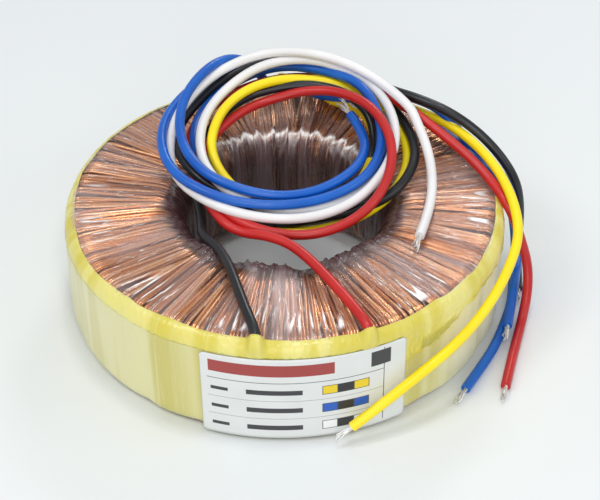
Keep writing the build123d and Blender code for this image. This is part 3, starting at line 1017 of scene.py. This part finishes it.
tape_top = folded_band(turn_steps, 62, 0.20) + folded_band(turn_steps, 29, 0.16)
tape_foot = folded_band(turn_steps, 58, 0.52) + folded_band(turn_steps, 27, 0.30)
tape_slant = folded_band(turn_steps, 40, 0.016)


def tape_lift(turn, share):
    """How far the tape stands off the ring: its top and foot are creased
    apart, blended down the wall, with fine wrinkles that run down it."""
    leaning = turn + np.interp(turn, turn_steps, tape_slant, period=TAU) * share
    top = np.interp(leaning, turn_steps, tape_top, period=TAU)
    foot = np.interp(leaning, turn_steps, tape_foot, period=TAU)
    relief = top * (1 - share) + (foot - 0.12) * share
    smooth = under_label(turn)
    relief = relief * (1 - smooth) - 0.06 * smooth
    return (0.12 + relief) * MM


def make_rim_tape(material):
    """The wide tape round the rim, pulled into flats and folded over the top
    and bottom edges."""
    shares = np.concatenate([[0], np.linspace(0, 0.35, 9), np.linspace(0.37, 0.85, 26),
                             np.linspace(0.87, 1, 8), [1]])
    share, turn = np.meshgrid(shares, turn_steps, indexing="ij")
    top_angle = TAPE_EDGE_ANGLE + folded_band(turn_steps, 60, 0.10)[None]
    angle, centre = rim_section(share, top_angle)
    lift = np.minimum(tape_lift(turn, share), 0.2 * MM)
    wrinkle = crumples(turn, share, 6, (50, 140), (-9, 9)) ** 3
    lift = lift + 0.05 * MM * wrinkle * (1 - under_label(turn))
    lift[0] -= 0.3 * MM
    lift[-1] -= 0.3 * MM
    points = rim_points(turn, angle, centre, lift)
    faces = grid_faces(len(shares), len(turn_steps), close_columns=True)
    signed = np.degrees(from_front(turn))
    # The wall of the tape is paler round both sides: from about 36 degrees right of the front and
    # from about 40 degrees left of it.
    faded = smooth_step(signed, 36, 52) * 0.9 + smooth_step(-signed, 40, 70) * 0.55
    faded = faded * smooth_step(share, 0.3, 0.45)
    piece = add_piece("rim_tape_band", points, faces, material, "yellow_tape", faded=faded)
    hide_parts("rim_tape")
    return piece


# The narrow turn's lower edge: turns from the front in degrees and heights in mm.
# It is pulled down in a crumpled wedge past the label's right end.
EDGE_TURNS = [-180, -130, -95, -60, -37, -30, -24, -12, 0, 14, 28.5, 29.6, 32, 36,
              40, 44, 49, 57, 67, 76, 90, 120, 150, 180]
EDGE_LOW = [28.9, 28.6, 28.4, 28.5, 28.2, 29.4, 29.8, 29.4, 29.0, 28.8, 28.7, 19.4, 20.2, 20.7,
            21.5, 23.2, 25.6, 26.0, 25.3, 24.2, 27.6, 28.9, 28.6, 28.9]
EXIT_TURNS = np.radians([RED_EXIT, BLACK_EXIT, *REAR_EXITS.values()])


def over_leads(turn, width):
    """How far the tape is lifted over the leads' ends, from 0 to 1."""
    apart = from_front(turn[..., None] - EXIT_TURNS)
    return hump(apart * RING_R, 0, width, 4).max(-1)


def make_edge_tape(material):
    """The narrow turn of tape over the rim's top edge: it holds the leads'
    ends down in low tents, and its lower edge wanders."""
    shares = np.concatenate([[0], np.linspace(0, 0.35, 15), np.linspace(0.38, 0.98, 22), [1, 1]])
    share, turn = np.meshgrid(shares, turn_steps, indexing="ij")
    signed = np.degrees(from_front(turn))
    low = np.interp(signed, EDGE_TURNS, EDGE_LOW) * MM
    low = low + 0.25 * MM * ripples(turn, 0 * turn, 5, (20, 90), (0, 1))
    top_angle = TAPE_EDGE_ANGLE + (folded_band(turn_steps, 38, 0.15) + 0.05)[None]
    tent = over_leads(turn, 2.0 * MM)
    angle = fold_angle(share, top_angle)
    drop = np.clip((share - FOLD_SHARE) / (1 - FOLD_SHARE), 0, 1)
    centre = CORNER_Z + (np.minimum(low, CORNER_Z) - CORNER_Z) * drop
    tape_share = FOLD_SHARE + WALL_SHARE * (CORNER_Z - centre) / (CORNER_Z - RIM_CORNER)
    wide = np.clip((CORNER_Z - low) / (6 * MM), 0, 1)
    crumple = crumples(turn, share, 7, (40, 130), (-14, 14)) ** 2
    lift = np.minimum(tape_lift(turn, np.minimum(share, tape_share)), 0.22 * MM) + 0.06 * MM
    lift = lift + (0.04 + 0.30 * wide * (0.35 + drop)) * MM * crumple
    lift = lift + 0.10 * MM * crumple * hump(share, 0.16, 0.12)
    up = np.clip(np.sin(np.maximum(angle, 0)) * 1.25, 0, 1) ** 1.5
    lift = lift + tent * (2.75 * up + 0.25 * np.clip(1 - drop * 1.3, 0, 1)) * MM
    lift[0] -= 0.35 * MM
    lift[-1] -= 0.35 * MM
    points = rim_points(turn, angle, centre, lift)
    faces = grid_faces(len(shares), len(turn_steps), close_columns=True)
    patch = smooth_step(ripples(turn, 3 * share, 5, (12, 40), (-3, 3)), -0.9, 0.1)
    slack = smooth_step(wide, 0.1, 0.5) * smooth_step(share, 0.58, 0.80) * patch
    piece = add_piece("edge_tape_turn", points, faces, material, "yellow_tape", slack=slack)
    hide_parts("edge_tape")
    return piece


def yellow_tape(name, deep, pale, crumpled):
    """Polyester tape, a little see-through: its tone shifts between the flats it
    is pulled into, with pale stretch marks down it and glossy fine wrinkles."""
    s = Shader(name, IOR=1.5, Coat_Roughness=0.15, Subsurface_Weight=0.12,
               Subsurface_Scale=0.002)
    flats = s.noise(s.round_the_axis(11, 6, 10), 1, detail=1, roughness=0.4)
    runs = s.noise(s.round_the_axis(46, 8, 12), 1, detail=2)
    fine = s.noise(s.round_the_axis(120, 120, 160), 1, detail=3, distortion=0.4)
    tone = s.mix(flats.between(0.38, 0.62), deep, pale)
    tone = s.mix(runs.between(0.55, 0.75) * 0.5, tone, pale)
    marks = s.crease(runs, 0.02) * fine.between(0.4, 0.65)
    tone = s.mix(marks * 0.45, tone, (0.80, 0.76, 0.50))
    tone = s.mix(fine.between(0.6, 0.8) * crumpled, tone, (0.50, 0.44, 0.10))
    # Paler round both sides of the rim's wall, where the piece marks it.
    tone = s.mix(s.mark("faded") * 0.7, tone, (0.86, 0.83, 0.60))
    tone = s.mix(s.mark("slack") * 0.8, tone, (0.47, 0.42, 0.07))
    rough = 0.26 + fine * 0.16 + runs * 0.08
    surface = s.bump(fine + runs * 0.8, 0.35, 0.00025)
    return s.finish(Base_Color=tone, Roughness=rough, Normal=surface,
                    Coat_Weight=0.2 + 0.3 * flats)


film = make_clear_film(clear_film())
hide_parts("bore_film")
make_rim_tape(yellow_tape("rim_tape_film", (0.60, 0.54, 0.15), (0.75, 0.71, 0.37), 0.10))
make_edge_tape(yellow_tape("edge_tape_film", (0.70, 0.60, 0.08), (0.82, 0.74, 0.22), 0.30))


def make_joints(material):
    """The sleeved joints under the tape: each a tube that goes on from its lead
    round the rim's corner, narrowing from the lead's width to a wire's."""
    rows, sides = 12, 10
    t = np.linspace(0, 1, rows)
    angle = np.radians(48 - 26 * t)
    thick = (1.15 - 0.85 * t) * MM
    a = np.arange(sides) / sides * TAU
    out = (RIM_CORNER + thick + 0.1 * MM)[:, None] + thick[:, None] * np.cos(a)
    across = thick[:, None] * np.sin(a)
    radius = RING_R - RIM_CORNER + out * np.cos(angle)[:, None]
    height = CORNER_Z + out * np.sin(angle)[:, None]
    turn = EXIT_TURNS[:, None, None] + (across / radius)[None]
    points = on_ring(turn, radius[None] + 0 * turn, height[None] + 0 * turn)
    quads = grid_faces(rows, sides, close_columns=True)[:, ::-1]
    faces = repeat_faces(quads, len(EXIT_TURNS), rows * sides)
    piece = add_piece("joint_sleeves", points, faces, material, "tinned_strands")
    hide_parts("lead_joints")
    return piece


LABEL_W = 51.5
LABEL_LOW, LABEL_HIGH = 1.0, 27.82
LABEL_R = 59.80 * MM
LABEL_CORNER_R = 0.8
LABEL_TURN, LABEL_TILT = math.radians(4.2), math.radians(0.5)


def make_label(material):
    """The label's sheet on the rim: across it by way round, up it by height, its
    corners rounded, its edges let down to the tape, and a little waved."""
    height = LABEL_HIGH - LABEL_LOW
    rows = np.concatenate([[0], np.linspace(0, 1, 34), [1]])
    columns = np.concatenate([[0], np.linspace(0, 1, 120), [1]])
    v, u = np.meshgrid(rows, columns, indexing="ij")
    y = (v - 0.5) * height
    into_corner = np.maximum(np.abs(y) - (height / 2 - LABEL_CORNER_R), 0)
    rounded = np.sqrt(np.maximum(LABEL_CORNER_R**2 - into_corner**2, 0))
    half = LABEL_W / 2 - (LABEL_CORNER_R - rounded)
    x = (u - 0.5) * 2 * half
    across = x * math.cos(LABEL_TILT) - y * math.sin(LABEL_TILT)
    up = x * math.sin(LABEL_TILT) + y * math.cos(LABEL_TILT)
    edge = np.ones_like(u)
    edge[[0, -1]] = 0
    edge[:, [0, -1]] = 0
    wave = 0.03 * ripples(across / 25, up / 9, 5, (1, 7), (-3, 3)) * edge
    radius = LABEL_R + (0.13 * edge + wave) * MM
    turn = LABEL_TURN + np.arcsin(across * MM / LABEL_R)
    points = on_ring(turn, radius, ((LABEL_LOW + LABEL_HIGH) / 2 + up) * MM)
    uv = np.stack([x + LABEL_W / 2, y + height / 2], -1)
    faces = grid_faces(len(rows), len(columns))[:, ::-1]
    piece = add_piece("label_sheet", points, faces, material, "label_paper", uv)
    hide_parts("label")
    return piece


def label_paper():
    """Coated white paper with plain print: rules, bars and lead-colour swatches.
    The UV map is in millimetres from the label's lower left corner."""
    s = Shader("label_paper", Roughness=0.35, IOR=1.5)
    uv = s.place("UV")
    x, y = s.part_of(uv, 0), s.part_of(uv, 1)
    grain = s.noise(uv, 6, detail=3)
    cloud = s.noise(uv, 0.12, detail=1)
    tone = s.mix(cloud, (0.70, 0.72, 0.70), (0.78, 0.80, 0.79))
    soft = 0.06

    def block(left, right, low, high):
        """1 inside a rectangle, with a soft printed edge."""
        wide = x.between(left - soft, left + soft) * x.between(right + soft, right - soft)
        return wide * y.between(low - soft, low + soft) * y.between(high + soft, high - soft)

    ink = (0.035, 0.036, 0.04)
    prints = [
        (2.0, 33.0, 21.2, 25.0, (0.36, 0.045, 0.04)),
        (42.3, 47.4, 20.6, 25.4, ink),
        (1.6, 45.6, 18.9, 19.1, ink),
        (45.6, 45.8, 1.2, 26.0, ink),
        (1.6, 45.6, 12.75, 12.9, (0.3, 0.3, 0.3)),
        (1.6, 45.6, 6.65, 6.8, (0.3, 0.3, 0.3)),
    ]
    swatches = {"y": (0.85, 0.62, 0.01), "k": (0.015, 0.015, 0.018), "b": (0.01, 0.10, 0.5),
                "w": (0.9, 0.9, 0.9)}
    for low, colours in [(14.6, "yky"), (8.5, "bkb"), (2.5, "wkw")]:
        prints.append((2.4, 6.6, low + 0.5, low + 1.6, ink))
        prints.append((11.0, 25.0, low + 0.3, low + 1.9, ink))
        prints.append((29.9, 41.9, low - 0.2, low + 2.8, ink))
        for place, letter in enumerate(colours):
            left = 30.1 + place * 4.0
            prints.append((left, left + 3.6, low, low + 2.6, swatches[letter]))
    for left, right, low, high, colour in prints:
        tone = s.mix(block(left, right, low, high), tone, colour)
    surface = s.bump(grain, 0.08, 0.00005)
    return s.finish(Base_Color=tone, Normal=surface, Coat_Weight=0.10 + cloud * 0.1)


make_joints(tinned)
make_label(label_paper())


# ---------------------------------------------------------------------------
# The wound layers underneath
# ---------------------------------------------------------------------------


def wound_layer(name, dark, light, metallic, rough, fineness):
    """A layer under the outer winding: fine lines across the ring, one for each
    turn of wire or lap of film, with cloudy tone."""
    s = Shader(name, Metallic=metallic)
    lines = s.noise(s.round_the_axis(fineness, 6, 6), 1, detail=2)
    cloud = s.noise(s.place(), 60, detail=2)
    tone = s.mix(lines.between(0.35, 0.65), dark, light)
    tone = s.mix(cloud.between(0.4, 0.8) * 0.3, tone, dark)
    return s.finish(Base_Color=tone, Roughness=rough + lines * 0.15,
                    Normal=s.bump(lines, 0.4, 0.0003))


def core_steel():
    """Grain-oriented strip wound like a clock spring: fine rings on its faces."""
    s = Shader("core_steel", Metallic=0.85)
    rings = s.noise(s.round_the_axis(0.6, 3600), 1, detail=1)
    stain = s.noise(s.place(), 70, detail=3)
    tone = s.mix(rings, (0.20, 0.21, 0.22), (0.46, 0.47, 0.48))
    tone = s.mix(stain.between(0.6, 0.8) * 0.4, tone, (0.22, 0.15, 0.10))
    return s.finish(Base_Color=tone, Roughness=0.32 + stain * 0.2,
                    Normal=s.bump(rings, 0.4, 0.0001))


inner_copper = wound_layer("inner_copper", (0.26, 0.09, 0.04), (0.72, 0.33, 0.15), 0.75, 0.25, 140)
layer_film = wound_layer("layer_film", (0.42, 0.36, 0.28), (0.66, 0.60, 0.48), 0.0, 0.30, 24)
node_finishes = {"core": core_steel()}
for name in ["primary_winding", "small_secondary", "middle_secondary"]:
    node_finishes[name] = inner_copper
for name in ["core_wrap", "primary_wrap", "small_wrap", "middle_wrap"]:
    node_finishes[name] = layer_film
for name, finish in node_finishes.items():
    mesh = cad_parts[name].data
    mesh.materials.clear()
    mesh.materials.append(finish)


# ---------------------------------------------------------------------------
# Stage: floor, lamps and camera
# ---------------------------------------------------------------------------

world = bpy.data.worlds.new("studio")
bpy.context.scene.world = world
world.use_nodes = True
world.node_tree.nodes["Background"].inputs["Color"].default_value = (0.96, 0.98, 1, 1)
world.node_tree.nodes["Background"].inputs["Strength"].default_value = 0.52


def add_floor():
    """A wide pale floor, a hair below the ring's underside so that the two
    surfaces don't lie in one plane."""
    s = Shader("floor_paper", Roughness=0.6)
    reach, below = 3.0, -0.05 * MM
    corners = np.array([[-reach, -reach, below], [reach, -reach, below],
                        [reach, reach, below], [-reach, reach, below]])
    mesh = bpy.data.meshes.new("floor")
    mesh.from_pydata(corners.tolist(), [], [[0, 1, 2, 3]])
    mesh.materials.append(s.finish(Base_Color=(0.82, 0.85, 0.855)))
    add_object("floor", mesh)


def add_lamp(name, place, target, size, power):
    """A square soft lamp that faces a point."""
    lamp = bpy.data.lights.new(name, "AREA")
    lamp.size = size
    lamp.energy = power
    holder = add_object(name, lamp)
    holder.location = place
    holder.rotation_euler = (Vector(target) - Vector(place)).to_track_quat("-Z", "Y").to_euler()


add_floor()
add_lamp("key_lamp", (-0.45, -0.25, 0.72), (0, 0, 0.02), 0.24, 1.25)
add_lamp("top_lamp", (0.02, 0.02, 0.85), (0, 0, 0.02), 0.12, 1.00)
add_lamp("brow_lamp", (0.10, -0.50, 0.66), (0, 0, 0.02), 0.09, 0.90)
add_lamp("back_lamp", (0.20, 0.66, 0.56), (0, 0, 0.02), 0.18, 0.95)
add_lamp("side_lamp", (0.65, -0.15, 0.45), (0, 0, 0.02), 0.26, 0.55)
add_lamp("front_lamp", (-0.10, -0.95, 0.34), (0, 0, 0.01), 0.50, 2.20)

CAMERA_PITCH = 38.99
CAMERA_YAW = 1.27
camera_data = bpy.data.cameras.new("camera")
camera_data.lens = 94.43
camera_data.sensor_width = 36
camera_data.clip_start = 0.01
camera = add_object("camera", camera_data)
camera.location = (-0.0033, -0.34088, 0.28986)
camera.rotation_euler = (math.radians(90 - CAMERA_PITCH), 0, math.radians(-CAMERA_YAW))
bpy.context.scene.camera = camera

view = bpy.context.scene.view_settings
view.view_transform = "Standard"
